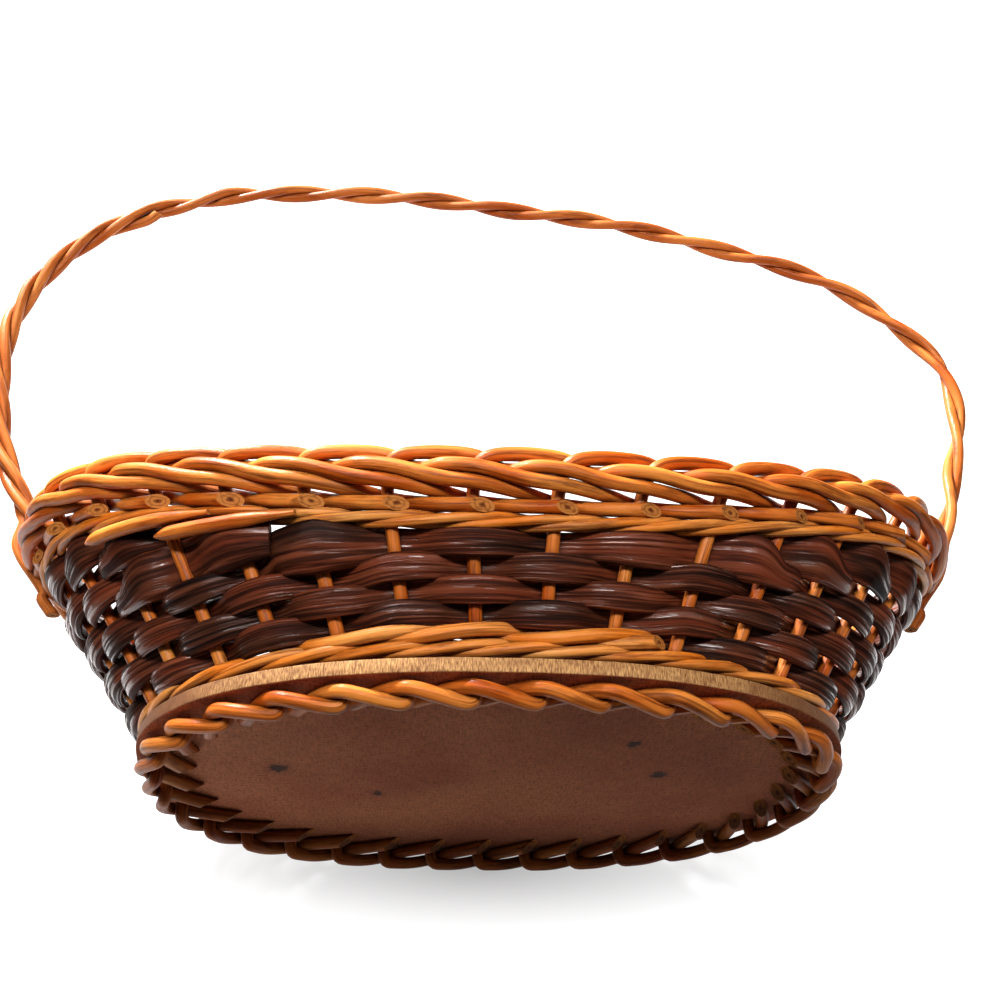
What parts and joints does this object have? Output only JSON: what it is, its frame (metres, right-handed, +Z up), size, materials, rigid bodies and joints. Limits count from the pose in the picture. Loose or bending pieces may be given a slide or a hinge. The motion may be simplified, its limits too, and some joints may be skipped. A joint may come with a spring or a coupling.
{
  "type": "mushroom foraging basket",
  "caption": "Oval willow basket with a board base, plaited foot and rim, dark flat strands woven between upright stakes, and a tall fixed handle of twisted willow rods.",
  "frame": {"origin": "on the ground, in the middle of the basket's length and width", "axes": "+Z up; +X along the basket's length and the handle's span; +Y across it, so that -Y is the side towards the viewer in the picture"},
  "size_m": [0.534, 0.2752, 0.3855],
  "materials": {
    "base_board": "matte brown stained fibreboard",
    "thick_willow": "glossy varnish over honey willow",
    "thin_willow": "glossy varnish over pale willow",
    "dark_strand": "glossy varnish over dark split bark"
  },
  "bodies": {
    "root": {"base_board": "base_board", "stake_01": "thick_willow", "stake_02": "thick_willow", "stake_03": "thick_willow", "stake_04": "thick_willow", "stake_05": "thick_willow", "stake_06": "thick_willow", "stake_07": "thick_willow", "stake_08": "thick_willow", "stake_09": "thick_willow", "stake_10": "thick_willow", "stake_11": "thick_willow", "stake_12": "thick_willow", "stake_13": "thick_willow", "stake_14": "thick_willow", "stake_15": "thick_willow", "stake_16": "thick_willow", "stake_17": "thick_willow", "stake_18": "thick_willow", "stake_19": "thick_willow", "stake_20": "thick_willow", "stake_21": "thick_willow", "stake_22": "thick_willow", "stake_23": "thick_willow", "stake_24": "thick_willow", "stake_25": "thick_willow", "stake_26": "thick_willow", "stake_27": "thick_willow", "stake_28": "thick_willow", "stake_29": "thick_willow", "stake_30": "thick_willow", "stake_31": "thick_willow", "stake_32": "thick_willow", "stake_33": "thick_willow", "handle_strand_1": "thick_willow", "handle_strand_2": "thick_willow", "handle_strand_3": "thick_willow", "rim_finishing_rod_1": "thick_willow", "rim_finishing_rod_2": "thick_willow", "lower_band_rod_1": "thin_willow", "lower_band_rod_2": "thin_willow", "lower_band_rod_3": "thin_willow", "lower_band_second_rod_1": "thin_willow", "lower_band_second_rod_2": "thin_willow", "upper_band_rod_1": "thin_willow", "upper_band_rod_2": "thin_willow", "upper_band_rod_3": "thin_willow", "dark_strand_1": "dark_strand", "dark_strand_2": "dark_strand", "dark_strand_3": "dark_strand", "dark_strand_4": "dark_strand", "dark_strand_5": "dark_strand", "right_end_strand_1": "dark_strand", "right_end_strand_2": "dark_strand", "right_end_strand_3": "dark_strand", "right_end_strand_4": "dark_strand", "left_end_strand_1": "dark_strand", "left_end_strand_2": "dark_strand", "left_end_strand_3": "dark_strand", "left_end_strand_4": "dark_strand"}
  },
  "joints": []
}
